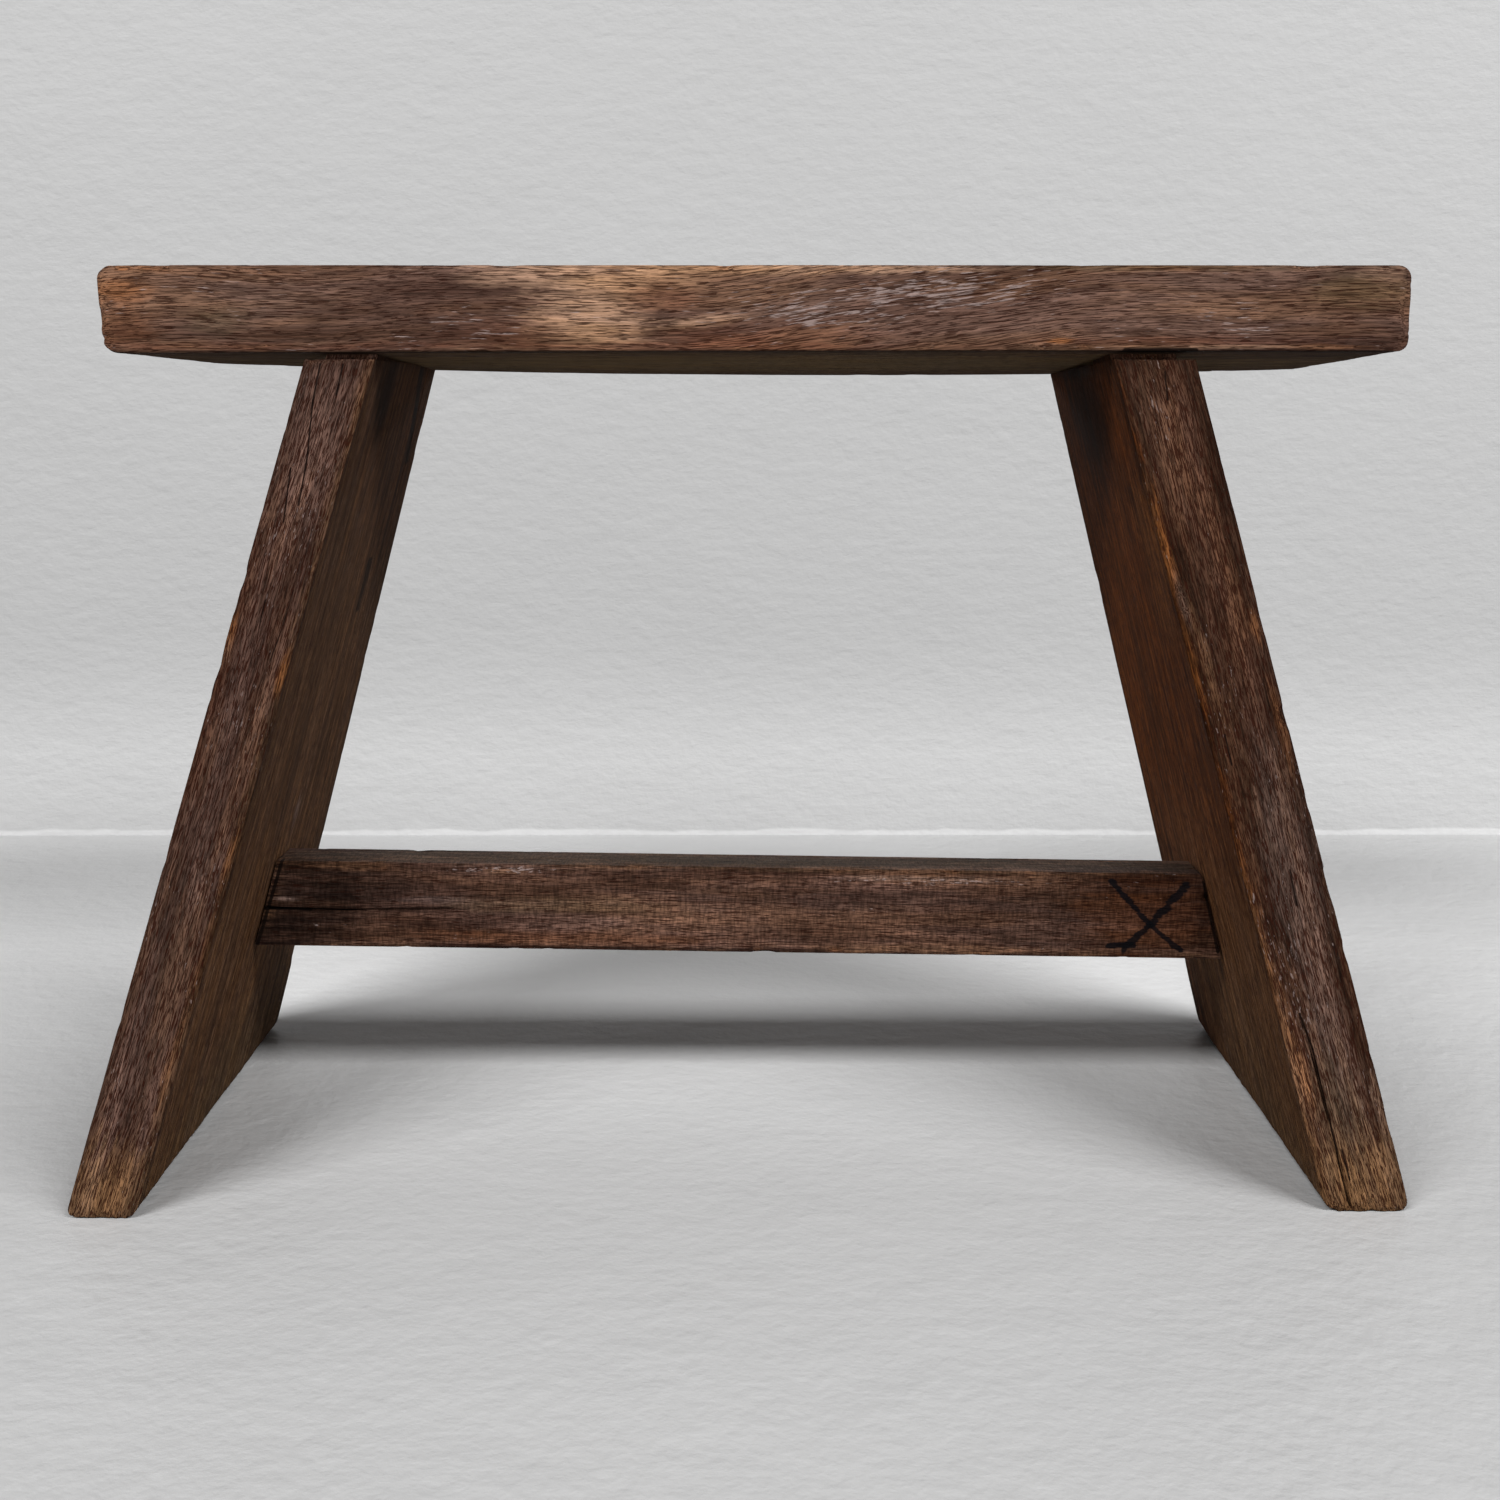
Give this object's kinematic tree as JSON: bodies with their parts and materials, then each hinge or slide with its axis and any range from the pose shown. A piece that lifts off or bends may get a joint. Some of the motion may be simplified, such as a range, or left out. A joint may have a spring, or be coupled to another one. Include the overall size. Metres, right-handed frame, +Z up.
{
  "type": "low wooden stool",
  "caption": "Low plank-leg wooden stool: a thick seat board on splayed flared legs tied by a rail, with wedged through tenons, old dark worn finish.",
  "frame": {"origin": "on the floor, midway between the outer edges of the two feet and at the middle of their depth", "axes": "+X along the seat towards the right leg, +Y towards the back, +Z up"},
  "size_m": [0.4427, 0.1904, 0.307],
  "materials": {
    "seat_wood": "old mid-brown hardwood, worn matt, with pores, pale scuffs and a tan patch",
    "leg_wood": "old dark brown hardwood, matt, with orange wear along the edges and drying cracks",
    "stretcher_wood": "old reddish dark brown hardwood, matt, with saw marks",
    "wedge_wood": "end-grain hardwood, worn level with its joint"
  },
  "bodies": {
    "root": {"seat": "seat_wood", "left_leg": "leg_wood", "right_leg": "leg_wood", "stretcher": "stretcher_wood", "wedge_left_front": "wedge_wood", "wedge_left_back": "wedge_wood", "wedge_right_front": "wedge_wood", "wedge_right_back": "wedge_wood", "wedge_stretcher_left": "wedge_wood", "wedge_stretcher_right": "wedge_wood"}
  },
  "joints": []
}
